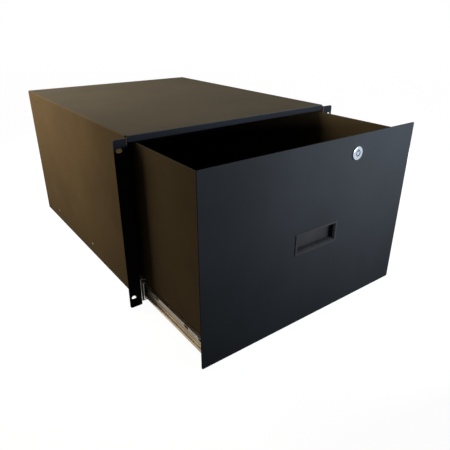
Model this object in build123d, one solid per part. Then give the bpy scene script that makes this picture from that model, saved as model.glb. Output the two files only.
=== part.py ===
from build123d import *
import os

# Lockable rack drawer, seven units high, drawn partly open.
# Frame: X across the front, Y towards the back, Z up, millimetres.
# The origin is the centre of the four rack holes, on the back face of the ears.

# Rack standard
RACK_UNIT = 44.45
RACK_UNITS = 7
EAR_TO_EAR = 482.6
RACK_HOLE_SPACING_X = 465.1
RACK_SLOT_LENGTH = 10.0
RACK_SLOT_WIDTH = 6.6

# Case, folded from sheet
CASE_WIDTH = 438.15
CASE_HEIGHT_CLEARANCE = 3.75
CASE_BEHIND_SLIDES = 47.1
CASE_SHEET = 1.5
CASE_BEND_INSIDE = 1.0
CASE_EDGE_RADIUS = 3.0
EAR_TOP_STEP = 2.8
EAR_CORNER_RADIUS = 4.0
LIP_SETBACK = 2.7
LIP_HEIGHT = 10.4
LIP_END_GAP = 1.1
LIP_CORNER_RADIUS = 3.0
RELIEF_DEPTH = 5.2
FLOOR_SETBACK = 5.3
FLOOR_SHEET = 1.5
FLOOR_EDGE_GAP = 0.3
BOTTOM_FLANGE = 29.0
TOP_FLANGE = 12.0
REAR_FLANGE = 14.0
BACK_SHEET = 1.5
BACK_EDGE_GAP = 2.0
SUPPORT_HOLE_DIAMETER = 4.5
SUPPORT_HOLE_FROM_TOP = 18.4
SUPPORT_HOLE_FROM_BACK = 68.0

# Drawer
DRAWER_OPEN = 198.5
PANEL_WIDTH = 444.5
PANEL_ABOVE_CASE = 0.0
PANEL_SHEET = 2.0
PANEL_CORNER_RADIUS = 2.0
PANEL_TO_EAR_GAP = 0.7
TRAY_REAR_GAP = 26.7
TRAY_SHEET = 1.5
TRAY_BEND_RADIUS = 3.0
TRAY_TOP_GAP = 1.2
TRAY_FLOOR_GAP = 4.2

# Telescopic slides
SLIDE_THICKNESS = 12.7
SLIDE_SHEET = 1.2
SLIDE_BEND = 1.4
SLIDE_ABOVE_FLOOR = 0.95
SLIDE_LENGTH = 500.0
SLIDE_FRONT_GAP = 0.3
MIDDLE_OPEN = 4.0
DRAWER_MEMBER_FRONT_GAP = 0.5
BUMPER_LENGTH = 7.0
BUMPER_GAP = 0.4
BUMPER_SIDE_GAP = 0.1
MIDDLE_WEB_OFFSET = 3.4
HOOK_OFFSET = 5.2
HOOK_HEIGHT = 13.0
RACE_CLEARANCE = 0.1
OUTER_BALL_DIAMETER = 4.76
INNER_BALL_DIAMETER = 3.0
DRAWER_FLANGE_HEIGHT = 12.0
RIDGE_ABOVE_RACE = 0.8
CURL_DROP = 0.5
CAGE_SHEET = 0.6
CAGE_LENGTH = 236.0
CAGE_POCKET_CLEARANCE = 0.15
CAGE_CURL_GAP = 0.4
CAGE_WEB_GAP = 0.25
BALLS_PER_ROW = 2
BALL_PITCH = 180.0
SLIDE_HOLE_FIRST = 35.0
SLIDE_HOLE_PITCH = 32.0
SLIDE_SCREW_DIAMETER = 4.0
SLIDE_SCREW_HEAD_DIAMETER = 8.0
SLIDE_SCREW_HEAD = 1.1
SLOT_LENGTH = 12.0
SLOT_WIDTH = 4.6
ACCESS_LENGTH = 14.0
OUTER_SCREW_HOLES = (0, 6, 13)
OUTER_SLOTS = (3, 10)
MIDDLE_SLOTS = (2, 10)
DRAWER_SCREW_HOLES = (0, 7, 14)
DRAWER_SLOTS = (1, 4, 11)
DRAWER_FRONT_SLOT = 24.0

# Flush pull
PULL_WIDTH = 94.0
PULL_HEIGHT = 38.0
PULL_BELOW_CENTRE = 1.7
PULL_PROUD = 1.6
PULL_RIM = 4.0
PULL_SLOPE = 1.8
PULL_EDGE = 0.5
PULL_DEPTH = 12.0
PULL_WALL = 1.5
PULL_UNDERCUT = 3.0
PULL_FIT = 0.3
PULL_CORNER_RADIUS = 2.0
PULL_BARB = 1.0
PULL_BARB_GAP = 0.1
PULL_BARB_WIDTH = 5.0
RETAINER_SHEET = 0.8
RETAINER_BORDER = 7.0
RETAINER_FIT = 0.2

# Cam lock
LOCK_X = 75.5
LOCK_BELOW_TOP = 29.2
LOCK_HEAD_DIAMETER = 22.0
LOCK_HEAD = 3.0
LOCK_HEAD_ROUND = 1.2
LOCK_BARREL_DIAMETER = 19.0
LOCK_BARREL_FLATS = 16.0
LOCK_BARREL_LENGTH = 13.5
LOCK_FIT = 0.2
LOCK_BACK_WALL = 3.0
LOCK_NUT_FLATS = 24.0
LOCK_NUT_HEIGHT = 3.5
LOCK_BORE_DIAMETER = 10.0
LOCK_REAR_BORE_DIAMETER = 8.0
LOCK_RUNNING_CLEARANCE = 0.05
KEYWAY_DEPTH = 6.0
KEY_POST_DIAMETER = 6.6
KEY_POST_BELOW_FACE = 0.2
KEY_NOTCH_WIDTH = 2.2
KEY_NOTCH_DEPTH = 1.7
POST_GROOVE = 1.1
CAM_SHEET = 2.0
CAM_WIDTH = 13.0
CAM_REACH = 25.0
CAM_SQUARE = 6.0
CAM_LIP_GAP = 0.6
CAM_HUB_DIAMETER = 18.0
CAM_HUB_GAP = 0.3
CAM_CRANK = 4.0
CAM_CORNER_RADIUS = 3.0
CAM_STUD_DIAMETER = 5.0
CAM_STUD_PROUD = 0.5
CAM_NUT_FLATS = 8.0
CAM_NUT_HEIGHT = 4.0

# Screws, nuts and buffers
SHEET_SCREW_DIAMETER = 4.0
SHEET_SCREW_HEAD_DIAMETER = 8.0
SHEET_SCREW_HEAD = 2.2
SHEET_SCREW_SLOT = 1.0
SHEET_SCREW_CROSS = 4.4
SCREW_CLEARANCE = 0.05
BACK_SCREW_FROM_END = 33.7
SHEET_SCREW_HEAD_BEVEL = 0.9
BACK_SCREW_TIP = 5.0
STUD_DIAMETER = 4.0
STUD_LENGTH = 7.5
STUD_BASE_DIAMETER = 5.5
STUD_BASE = 0.8
STUD_FIT = 0.3
STUD_FROM_TRAY_SIDE = 19.9
STUD_FROM_TRAY_TOP = 17.1
STUD_FROM_TRAY_BOTTOM = 21.5
NUT_FLANGE_DIAMETER = 9.5
NUT_FLANGE = 1.0
NUT_FLATS = 7.0
NUT_HEIGHT = 3.6
BUFFER_DIAMETER = 8.0
BUFFER_LENGTH = 3.0
BUFFER_FROM_TRAY_SIDE = 25.0

# How far a cut runs past the face it starts from, and how far a joined shape reaches into its base
CUT_PAST = 1.0
JOIN_DEPTH = 0.2

# Worked out from the sizes above
CASE_HEIGHT = RACK_UNIT * RACK_UNITS - CASE_HEIGHT_CLEARANCE
PANEL_HEIGHT = CASE_HEIGHT + 2 * PANEL_ABOVE_CASE
RACK_HOLE_SPACING_Z = RACK_UNIT * (RACK_UNITS - 1)
EAR_FRONT = -CASE_SHEET
LIP_FRONT = EAR_FRONT + LIP_SETBACK
OUTER_MEMBER_FRONT = LIP_FRONT + SLIDE_FRONT_GAP
OUTER_MEMBER_LENGTH = SLIDE_LENGTH + BUMPER_GAP + BUMPER_LENGTH
CASE_BACK = OUTER_MEMBER_FRONT + OUTER_MEMBER_LENGTH + CASE_BEHIND_SLIDES
CASE_TOP = CASE_HEIGHT / 2
CASE_BOTTOM = -CASE_HEIGHT / 2
CASE_INSIDE = CASE_WIDTH / 2 - CASE_SHEET
CASE_BEND = CASE_BEND_INSIDE + CASE_SHEET / 2
EAR_TOP = CASE_TOP - EAR_TOP_STEP
LIP_BOTTOM = CASE_TOP - LIP_HEIGHT
FLOOR_FRONT = LIP_FRONT + FLOOR_SETBACK
FLOOR_BOTTOM = CASE_BOTTOM + CASE_SHEET
FLOOR_TOP = FLOOR_BOTTOM + FLOOR_SHEET
FLANGE_BACK = CASE_BACK - BACK_SHEET
RELIEF_BACK = LIP_FRONT + RELIEF_DEPTH
WALL_BACK = FLANGE_BACK - CASE_SHEET - CASE_BEND_INSIDE
TOP_SEAM = CASE_WIDTH / 2 - TOP_FLANGE
EAR_SEAM = CASE_WIDTH / 2 + CASE_BEND_INSIDE

PANEL_FRONT_CLOSED = EAR_FRONT - PANEL_TO_EAR_GAP - PANEL_SHEET
PANEL_FRONT = PANEL_FRONT_CLOSED - DRAWER_OPEN
PANEL_BACK = PANEL_FRONT + PANEL_SHEET
TRAY_FRONT_INSIDE = PANEL_BACK + TRAY_SHEET
TRAY_BACK = FLANGE_BACK - TRAY_REAR_GAP - DRAWER_OPEN
TRAY_HALF_WIDTH = CASE_INSIDE - SLIDE_THICKNESS
TRAY_TOP = LIP_BOTTOM - TRAY_TOP_GAP
TRAY_BOTTOM = FLOOR_TOP + TRAY_FLOOR_GAP

INNER_BALL_RADIUS = INNER_BALL_DIAMETER / 2
OUTER_BALL_RADIUS = OUTER_BALL_DIAMETER / 2
INNER_RACE = INNER_BALL_RADIUS + RACE_CLEARANCE
OUTER_RACE = OUTER_BALL_RADIUS + RACE_CLEARANCE
INNER_BALL_U = HOOK_OFFSET + SLIDE_SHEET + INNER_RACE
INNER_BALL_Z = DRAWER_FLANGE_HEIGHT + INNER_RACE
MIDDLE_TOP = INNER_BALL_Z + INNER_RACE + SLIDE_SHEET
OUTER_BALL_U = MIDDLE_WEB_OFFSET + SLIDE_SHEET + OUTER_RACE
OUTER_BALL_Z = MIDDLE_TOP + OUTER_RACE
OUTER_HALF_HEIGHT = OUTER_BALL_Z + OUTER_RACE + SLIDE_SHEET
SLIDE_Z = FLOOR_TOP + SLIDE_ABOVE_FLOOR + OUTER_HALF_HEIGHT

MIDDLE_FRONT = OUTER_MEMBER_FRONT - MIDDLE_OPEN
DRAWER_MEMBER_FRONT = PANEL_BACK + DRAWER_MEMBER_FRONT_GAP
BUMPER_FRONT = OUTER_MEMBER_FRONT + SLIDE_LENGTH + BUMPER_GAP
DRAWER_STAGE_OPEN = DRAWER_OPEN - MIDDLE_OPEN
CAGE_FRONT_SHUT = OUTER_MEMBER_FRONT + (SLIDE_LENGTH - CAGE_LENGTH) / 2
OUTER_CAGE_FRONT = CAGE_FRONT_SHUT - MIDDLE_OPEN / 2
INNER_CAGE_FRONT = CAGE_FRONT_SHUT - MIDDLE_OPEN - DRAWER_STAGE_OPEN / 2

LOCK_Z = CASE_TOP - LOCK_BELOW_TOP
PULL_Z = -PULL_BELOW_CENTRE
SIDES = {"left": -1, "right": 1}

nodes = {}


def box(x0, x1, y0, y1, z0, z1):
    """A block between two opposite corners."""
    size = (abs(x1 - x0), abs(y1 - y0), abs(z1 - z0))
    centre = ((x0 + x1) / 2, (y0 + y1) / 2, (z0 + z1) / 2)
    return Pos(*centre) * Box(*size)


def rod_y(x, z, radius, y0, y1):
    """A round bar along Y."""
    return Pos(x, (y0 + y1) / 2, z) * Rot(90, 0, 0) * Cylinder(radius, abs(y1 - y0))


def rod_x(y, z, radius, x0, x1):
    """A round bar along X."""
    return Pos((x0 + x1) / 2, y, z) * Rot(0, 90, 0) * Cylinder(radius, abs(x1 - x0))


def rod_z(x, y, radius, z0, z1):
    """A round bar along Z."""
    return Pos(x, y, (z0 + z1) / 2) * Cylinder(radius, abs(z1 - z0))


def along_y(outline, x, z, y0, y1):
    """An outline drawn in X and Z, carried on from y0 to y1."""
    plane = Plane(origin=(x, y0, z), x_dir=(1, 0, 0), z_dir=(0, -1, 0))
    return extrude(plane * outline, y0 - y1)


def folded_strip(points, radius, sheet, plane, length):
    """Sheet bent along its middle line and carried on by a length: radius is that of the middle line."""
    path = FilletPolyline(*points, radius=radius)
    left = path.offset_2d(sheet / 2, side=Side.LEFT, closed=False)
    right = path.offset_2d(sheet / 2, side=Side.RIGHT, closed=False)
    ends = [Line(left @ 0, right @ 1).edge(), Line(left @ 1, right @ 0).edge()]
    strip = make_face([*left.edges(), *right.edges(), *ends])
    return extrude(plane * strip, length)


def on_side(shape, side):
    """The shape as drawn for the right side, or its mirror image for the left."""
    return shape if side > 0 else mirror(shape, about=Plane.YZ)


def group(shapes):
    """Separate solids kept together in one node."""
    solids = []
    for shape in shapes:
        solids.extend(shape.solids())
    return Compound(children=solids)


# Case sides, rack ears and top. They are drawn as separate flush sheets: each wall has its flanges and
# the bend towards its ear, each ear is flat, and the top lies between the walls' upper flanges.
def case_side():
    """Right side wall of the case."""
    mid = CASE_SHEET / 2
    half = CASE_WIDTH / 2 - mid
    top = CASE_TOP - mid
    low = CASE_BOTTOM + mid
    section = [(TOP_SEAM, top), (half, top), (half, low), (CASE_WIDTH / 2 - BOTTOM_FLANGE, low)]
    plane = Plane(origin=(0, RELIEF_BACK, 0), x_dir=(1, 0, 0), z_dir=(0, -1, 0))
    wall = folded_strip(section, CASE_EDGE_RADIUS - mid, CASE_SHEET, plane, RELIEF_BACK - WALL_BACK)
    wall = wall + (ear_strip() & ear_seam_box(0, EAR_SEAM)) + rear_side_flange()
    holes = [rod_x(y, SLIDE_Z, SLIDE_SCREW_DIAMETER / 2 + SCREW_CLEARANCE, 0, CASE_WIDTH)
             for y in outer_screw_places()]
    holes.append(rod_x(CASE_BACK - SUPPORT_HOLE_FROM_BACK, CASE_TOP - SUPPORT_HOLE_FROM_TOP,
                       SUPPORT_HOLE_DIAMETER / 2, 0, CASE_WIDTH))
    holes += [back_screw_hole(x, z) for x, z in back_screw_places()]
    for hole in holes:
        wall -= hole
    return wall


def case_top():
    """Top sheet, with the front lip and the upper rear flange bent off it."""
    top_middle = CASE_TOP - CASE_SHEET / 2
    flange_middle = FLANGE_BACK - CASE_SHEET / 2
    sheet = box(-TOP_SEAM, TOP_SEAM, RELIEF_BACK, WALL_BACK, CASE_TOP - CASE_SHEET, CASE_TOP)
    flange_half = CASE_WIDTH / 2 - REAR_FLANGE - LIP_END_GAP
    plane = Plane(origin=(-flange_half, 0, 0), x_dir=(0, 1, 0), z_dir=(1, 0, 0))
    path = [(WALL_BACK - CASE_SHEET, top_middle), (flange_middle, top_middle),
            (flange_middle, CASE_TOP - REAR_FLANGE)]
    return sheet + front_lip() + folded_strip(path, CASE_BEND, CASE_SHEET, plane, 2 * flange_half)


def ear_seam_box(x0, x1):
    return box(x0, x1, EAR_FRONT - CUT_PAST, CASE_BACK, CASE_BOTTOM - CUT_PAST, CASE_TOP + CUT_PAST)


def rack_ear():
    """Right rack ear: the flat outside the bend."""
    return ear_strip() & ear_seam_box(EAR_SEAM, EAR_TO_EAR)


def ear_strip():
    """Right rack ear with its bend and the strip of side wall behind it, up to the corner relief."""
    mid = CASE_SHEET / 2
    half = CASE_WIDTH / 2 - mid
    plane = Plane(origin=(0, 0, CASE_BOTTOM), x_dir=(1, 0, 0), z_dir=(0, 0, 1))
    path = [(half, RELIEF_BACK), (half, EAR_FRONT + mid), (EAR_TO_EAR / 2, EAR_FRONT + mid)]
    shape = folded_strip(path, CASE_BEND, CASE_SHEET, plane, EAR_TOP - CASE_BOTTOM)
    corners = shape.edges().filter_by(Axis.Y).group_by(Axis.X)[-1]
    shape = fillet(corners, EAR_CORNER_RADIUS)
    for hole_z in (-RACK_HOLE_SPACING_Z / 2, RACK_HOLE_SPACING_Z / 2):
        slot = SlotOverall(RACK_SLOT_LENGTH, RACK_SLOT_WIDTH)
        shape -= along_y(slot, RACK_HOLE_SPACING_X / 2, hole_z, EAR_FRONT - CUT_PAST, CUT_PAST)
    return shape


def front_lip():
    """Lip that hangs from the front of the top, which the lock's cam catches behind."""
    mid = CASE_SHEET / 2
    top = CASE_TOP - mid
    lip_half = CASE_INSIDE - LIP_END_GAP
    plane = Plane(origin=(-lip_half, 0, 0), x_dir=(0, 1, 0), z_dir=(1, 0, 0))
    path = [(RELIEF_BACK, top), (LIP_FRONT + mid, top), (LIP_FRONT + mid, LIP_BOTTOM)]
    lip = folded_strip(path, CASE_BEND, CASE_SHEET, plane, 2 * lip_half)
    return fillet(lip.edges().filter_by(Axis.Y).group_by(Axis.Z)[0], LIP_CORNER_RADIUS)


def rear_side_flange():
    """Right rear flange, which the back panel is screwed to."""
    mid = CASE_SHEET / 2
    half = CASE_WIDTH / 2 - mid
    flange_half = CASE_HEIGHT / 2 - CASE_EDGE_RADIUS - CASE_BEND_INSIDE
    plane = Plane(origin=(0, 0, -flange_half), x_dir=(1, 0, 0), z_dir=(0, 0, 1))
    path = [(half, WALL_BACK - CASE_SHEET), (half, FLANGE_BACK - mid),
            (CASE_WIDTH / 2 - REAR_FLANGE, FLANGE_BACK - mid)]
    return folded_strip(path, CASE_BEND, CASE_SHEET, plane, 2 * flange_half)


def outer_screw_places():
    """Where the case members are screwed to the case walls, along Y."""
    return [OUTER_MEMBER_FRONT + SLIDE_HOLE_FIRST + SLIDE_HOLE_PITCH * k for k in OUTER_SCREW_HOLES]


def drawer_screw_places():
    """Where the drawer members are screwed to the tray, along Y."""
    return [DRAWER_MEMBER_FRONT + SLIDE_HOLE_FIRST + SLIDE_HOLE_PITCH * k for k in DRAWER_SCREW_HOLES]


def back_screw_places():
    x = (CASE_WIDTH - REAR_FLANGE) / 2
    z = CASE_TOP - BACK_SCREW_FROM_END
    return [(side * x, row * z) for side in (-1, 1) for row in (-1, 1)]


def back_screw_hole(x, z):
    radius = SHEET_SCREW_DIAMETER / 2 + SCREW_CLEARANCE
    return rod_y(x, z, radius, FLANGE_BACK - 2 * CASE_SHEET, CASE_BACK + CUT_PAST)


def back_screw(x, z):
    """Pan-head screw through the back panel into the flange."""
    head = rod_y(x, z, SHEET_SCREW_HEAD_DIAMETER / 2, CASE_BACK, CASE_BACK + SHEET_SCREW_HEAD)
    rim = head.edges().filter_by(GeomType.CIRCLE).group_by(Axis.Y)[-1]
    head = chamfer(rim, SHEET_SCREW_HEAD_BEVEL)
    cross = Rectangle(SHEET_SCREW_CROSS, SHEET_SCREW_SLOT) + Rectangle(SHEET_SCREW_SLOT, SHEET_SCREW_CROSS)
    head -= along_y(cross, x, z, CASE_BACK + SHEET_SCREW_HEAD / 2, CASE_BACK + SHEET_SCREW_HEAD + CUT_PAST)
    return head + rod_y(x, z, SHEET_SCREW_DIAMETER / 2, FLANGE_BACK - BACK_SCREW_TIP, CASE_BACK)


side_wall = case_side()
ear = rack_ear()
for name, side in SIDES.items():
    nodes["case_side_" + name] = on_side(side_wall, side)
    nodes["rack_ear_" + name] = on_side(ear, side)
nodes["case_top"] = case_top()

# Case floor: a flat sheet laid on the bottom flanges and spot-welded to them.
floor_half = CASE_INSIDE - (CASE_EDGE_RADIUS - CASE_SHEET) - FLOOR_EDGE_GAP
floor_back = FLANGE_BACK - CASE_SHEET - FLOOR_EDGE_GAP
nodes["case_floor"] = box(-floor_half, floor_half, FLOOR_FRONT, floor_back, FLOOR_BOTTOM, FLOOR_TOP)

# Case back: a flat sheet on the rear flanges.
back_outline = RectangleRounded(CASE_WIDTH - 2 * BACK_EDGE_GAP, CASE_HEIGHT - 2 * BACK_EDGE_GAP,
                                BACK_EDGE_GAP)
case_back = along_y(back_outline, 0, 0, FLANGE_BACK, CASE_BACK)
for x, z in back_screw_places():
    case_back -= back_screw_hole(x, z)
nodes["case_back"] = case_back
nodes["back_screws"] = group(back_screw(x, z) for x, z in back_screw_places())


# Slides. A section is drawn in U, the distance in from the case wall, and Z from the slide's middle.
def slide_plane(y):
    return Plane(origin=(CASE_INSIDE, y, SLIDE_Z), x_dir=(-1, 0, 0), z_dir=(0, 1, 0))


def strip_rect(u0, u1, z0, z1):
    return Pos((u0 + u1) / 2, (z0 + z1) / 2) * Rectangle(abs(u1 - u0), abs(z1 - z0))


def race_ring(u, z, race):
    """Section of sheet bent round a row of balls."""
    return Pos(u, z) * (Circle(race + SLIDE_SHEET) - Circle(race))


def both_halves(section):
    return section + mirror(section, about=Plane.XZ)


def mirrored_path(upper):
    return upper + [(u, -z) for u, z in reversed(upper)]


def web_slot(y, u0, u1, length, width):
    """Slot through a member's web, along Y."""
    plane = Plane(origin=(CASE_INSIDE - u0, y, SLIDE_Z), x_dir=(0, 1, 0), z_dir=(-1, 0, 0))
    return extrude(plane * SlotOverall(length, width), u1 - u0)


def outer_member():
    """Case member: a C whose flanges curl over the outer balls."""
    edge = OUTER_HALF_HEIGHT - SLIDE_SHEET / 2
    middle = SLIDE_SHEET / 2
    curl_u = OUTER_BALL_U + OUTER_RACE + middle
    upper = [(curl_u, OUTER_BALL_Z - CURL_DROP), (curl_u, edge), (middle, edge)]
    radii = [OUTER_RACE + middle, SLIDE_BEND, SLIDE_BEND, OUTER_RACE + middle]
    plane = slide_plane(OUTER_MEMBER_FRONT)
    member = folded_strip(mirrored_path(upper), radii, SLIDE_SHEET, plane, OUTER_MEMBER_LENGTH)
    for y in outer_screw_places():
        member -= rod_x(y, SLIDE_Z, SLIDE_SCREW_DIAMETER / 2 + SCREW_CLEARANCE,
                        CASE_INSIDE - 2 * SLIDE_SHEET, CASE_INSIDE + CUT_PAST)
    for k in OUTER_SLOTS:
        y = OUTER_MEMBER_FRONT + SLIDE_HOLE_FIRST + SLIDE_HOLE_PITCH * k
        member -= web_slot(y, -CUT_PAST, 2 * SLIDE_SHEET, SLOT_LENGTH, SLOT_WIDTH)
    return member


def middle_member():
    """Middle member: its flange dips under the outer balls and curls over the inner ones."""
    ridge_top = MIDDLE_TOP + RIDGE_ABOVE_RACE
    web_in = MIDDLE_WEB_OFFSET + SLIDE_SHEET
    web = strip_rect(MIDDLE_WEB_OFFSET, web_in, 0, ridge_top)
    ridge = strip_rect(MIDDLE_WEB_OFFSET, OUTER_BALL_U - OUTER_RACE / 2, ridge_top - SLIDE_SHEET, ridge_top)
    dip_window = strip_rect(web_in, OUTER_BALL_U, MIDDLE_TOP - SLIDE_SHEET, ridge_top)
    dip = race_ring(OUTER_BALL_U, OUTER_BALL_Z, OUTER_RACE) & dip_window
    shelf = strip_rect(OUTER_BALL_U - JOIN_DEPTH, INNER_BALL_U + JOIN_DEPTH, MIDDLE_TOP - SLIDE_SHEET,
                       MIDDLE_TOP)
    curl_reach = INNER_BALL_U + INNER_RACE + SLIDE_SHEET
    curl_window = strip_rect(INNER_BALL_U, curl_reach, INNER_BALL_Z - CURL_DROP, MIDDLE_TOP)
    curl = race_ring(INNER_BALL_U, INNER_BALL_Z, INNER_RACE) & curl_window
    flange = web + ridge + dip + shelf + curl
    flange -= Pos(OUTER_BALL_U, OUTER_BALL_Z) * Circle(OUTER_RACE)
    flange -= Pos(INNER_BALL_U, INNER_BALL_Z) * Circle(INNER_RACE)
    corner = flange.vertices().sort_by_distance((MIDDLE_WEB_OFFSET, ridge_top, 0))[0]
    flange = fillet(corner, SLIDE_SHEET)
    member = extrude(slide_plane(MIDDLE_FRONT) * both_halves(flange), SLIDE_LENGTH)
    for k in MIDDLE_SLOTS:
        y = MIDDLE_FRONT + SLIDE_HOLE_FIRST + SLIDE_HOLE_PITCH * k
        member -= web_slot(y, 0, HOOK_OFFSET, ACCESS_LENGTH, SLIDE_SCREW_HEAD_DIAMETER)
    return member


def drawer_member():
    """Drawer member: a C whose edges hook up round the inner balls."""
    middle = SLIDE_SHEET / 2
    edge = DRAWER_FLANGE_HEIGHT - middle
    upper = [(HOOK_OFFSET + middle, INNER_BALL_Z + INNER_RACE), (HOOK_OFFSET + middle, edge),
             (SLIDE_THICKNESS - middle, edge)]
    radii = [INNER_RACE + middle, SLIDE_BEND, SLIDE_BEND, INNER_RACE + middle]
    plane = slide_plane(DRAWER_MEMBER_FRONT)
    member = folded_strip(mirrored_path(upper), radii, SLIDE_SHEET, plane, SLIDE_LENGTH)
    member &= box(CASE_INSIDE - SLIDE_THICKNESS, CASE_INSIDE, PANEL_BACK, TRAY_BACK,
                  SLIDE_Z - HOOK_HEIGHT, SLIDE_Z + HOOK_HEIGHT)
    for y in drawer_screw_places():
        member -= rod_x(y, SLIDE_Z, SLIDE_SCREW_DIAMETER / 2 + SCREW_CLEARANCE,
                        CASE_INSIDE - SLIDE_THICKNESS - CUT_PAST, CASE_INSIDE - HOOK_OFFSET)
    slots = [DRAWER_FRONT_SLOT] + [SLIDE_HOLE_FIRST + SLIDE_HOLE_PITCH * k for k in DRAWER_SLOTS]
    for distance in slots:
        y = DRAWER_MEMBER_FRONT + distance
        member -= web_slot(y, HOOK_OFFSET, SLIDE_THICKNESS + CUT_PAST, SLOT_LENGTH, SLOT_WIDTH)
    return member


def ball_centres(cage_front, u, z):
    """Centres of the balls of one slide's upper and lower rows."""
    first = cage_front + (CAGE_LENGTH - BALL_PITCH * (BALLS_PER_ROW - 1)) / 2
    return [(CASE_INSIDE - u, first + BALL_PITCH * k, SLIDE_Z + row * z)
            for row in (-1, 1) for k in range(BALLS_PER_ROW)]


def balls(centres, radius, side):
    return group(on_side(Pos(*centre) * Sphere(radius), side) for centre in centres)


def with_pockets(cage, centres, radius):
    """The cage with a pocket for each ball, open towards the curl so that the ball snaps in."""
    reach = radius + CAGE_POCKET_CLEARANCE
    for x, y, z in centres:
        cage -= rod_z(x, y, reach, z - CAGE_SHEET, z + CAGE_SHEET)
    return cage


def outer_cage():
    """Outer ball cage: one bent strip, its web between the case member and the middle member."""
    web_u = MIDDLE_WEB_OFFSET - CAGE_WEB_GAP - CAGE_SHEET / 2
    edge_u = OUTER_BALL_U + OUTER_RACE - CAGE_CURL_GAP
    path = [(edge_u, OUTER_BALL_Z), (web_u, OUTER_BALL_Z), (web_u, -OUTER_BALL_Z), (edge_u, -OUTER_BALL_Z)]
    cage = folded_strip(path, CAGE_SHEET, CAGE_SHEET, slide_plane(OUTER_CAGE_FRONT), CAGE_LENGTH)
    return with_pockets(cage, outer_centres, OUTER_BALL_RADIUS)


def inner_cage():
    """Inner ball cage: a strip for each row, between the middle member and the drawer member."""
    u0 = MIDDLE_WEB_OFFSET + SLIDE_SHEET + CAGE_WEB_GAP
    u1 = INNER_BALL_U + INNER_RACE - CAGE_CURL_GAP
    strips = []
    for row in (-1, 1):
        z = SLIDE_Z + row * INNER_BALL_Z
        strips.append(box(CASE_INSIDE - u1, CASE_INSIDE - u0, INNER_CAGE_FRONT,
                          INNER_CAGE_FRONT + CAGE_LENGTH, z - CAGE_SHEET / 2, z + CAGE_SHEET / 2))
    return [with_pockets(strip, inner_centres, INNER_BALL_RADIUS) for strip in strips]


def slide_screw(y, u_web, u_tip):
    """Low-head screw: the head lies on a member's web, the tip is flush with the sheet behind."""
    head_way = 1 if u_web > u_tip else -1
    web_x = CASE_INSIDE - u_web
    head = rod_x(y, SLIDE_Z, SLIDE_SCREW_HEAD_DIAMETER / 2, web_x - head_way * SLIDE_SCREW_HEAD, web_x)
    return head + rod_x(y, SLIDE_Z, SLIDE_SCREW_DIAMETER / 2, web_x, CASE_INSIDE - u_tip)


def rear_bumper():
    """Moulded bumper clipped into the back end of the case member, which stops the middle member."""
    top = OUTER_HALF_HEIGHT - SLIDE_SHEET - BUMPER_SIDE_GAP
    back = BUMPER_FRONT + BUMPER_LENGTH
    block = box(CASE_INSIDE - OUTER_BALL_U, CASE_INSIDE - SLIDE_SHEET, BUMPER_FRONT, back,
                SLIDE_Z - top, SLIDE_Z + top)
    block = chamfer(block.edges().filter_by(Axis.Y), SLIDE_SHEET)
    notch = box(CASE_INSIDE - OUTER_BALL_U - CUT_PAST, CASE_INSIDE - OUTER_BALL_U / 2,
                BUMPER_FRONT - CUT_PAST, back + CUT_PAST, SLIDE_Z - top / 2, SLIDE_Z + top / 2)
    return block - notch


outer_centres = ball_centres(OUTER_CAGE_FRONT, OUTER_BALL_U, OUTER_BALL_Z)
inner_centres = ball_centres(INNER_CAGE_FRONT, INNER_BALL_U, INNER_BALL_Z)
outer = outer_member()
middle = middle_member()
inner = drawer_member()
outer_strip = outer_cage()
inner_strips = inner_cage()
bumper = rear_bumper()
case_screws = [slide_screw(y, SLIDE_SHEET, -CASE_SHEET) for y in outer_screw_places()]
tray_screws = [slide_screw(y, SLIDE_THICKNESS - SLIDE_SHEET, SLIDE_THICKNESS + TRAY_SHEET)
               for y in drawer_screw_places()]
for name, side in SIDES.items():
    nodes["case_member_" + name] = on_side(outer, side)
    nodes["middle_member_" + name] = on_side(middle, side)
    nodes["drawer_member_" + name] = on_side(inner, side)
    nodes["rear_bumper_" + name] = on_side(bumper, side)
    nodes["case_member_screws_" + name] = group(on_side(screw, side) for screw in case_screws)
    nodes["drawer_member_screws_" + name] = group(on_side(screw, side) for screw in tray_screws)
    nodes["outer_cage_" + name] = on_side(outer_strip, side)
    nodes["inner_cage_" + name] = group(on_side(strip, side) for strip in inner_strips)
    nodes["outer_balls_" + name] = balls(outer_centres, OUTER_BALL_RADIUS, side)
    nodes["inner_balls_" + name] = balls(inner_centres, INNER_BALL_RADIUS, side)


# Openings that the front panel and the tray's front wall share.
def double_d(grow):
    """Outline of the lock's barrel: round with two flats."""
    flats = Rectangle(2 * LOCK_BARREL_DIAMETER, LOCK_BARREL_FLATS + 2 * grow)
    return Circle(LOCK_BARREL_DIAMETER / 2 + grow) & flats


def pull_pocket_outline(grow):
    """Outline of the pull's pocket: it reaches further up than the mouth, for the fingertips."""
    width = pull_mouth_width() + 2 * PULL_WALL
    height = pull_mouth_height() + PULL_UNDERCUT + 2 * PULL_WALL
    outline = RectangleRounded(width + 2 * grow, height + 2 * grow, PULL_CORNER_RADIUS)
    return Pos(0, PULL_UNDERCUT / 2) * outline


def pull_mouth_width():
    return PULL_WIDTH - 2 * (PULL_RIM + PULL_SLOPE)


def pull_mouth_height():
    return PULL_HEIGHT - 2 * (PULL_RIM + PULL_SLOPE)


def front_cutouts(y0, y1):
    pull = along_y(pull_pocket_outline(PULL_FIT), 0, PULL_Z, y0, y1)
    lock = along_y(double_d(LOCK_FIT), LOCK_X, LOCK_Z, y0, y1)
    return [pull, lock]


def stud_places():
    x = TRAY_HALF_WIDTH - STUD_FROM_TRAY_SIDE
    high = TRAY_TOP - STUD_FROM_TRAY_TOP
    low = TRAY_BOTTOM + STUD_FROM_TRAY_BOTTOM
    return [(side * x, z) for side in (-1, 1) for z in (low, high)]


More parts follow.
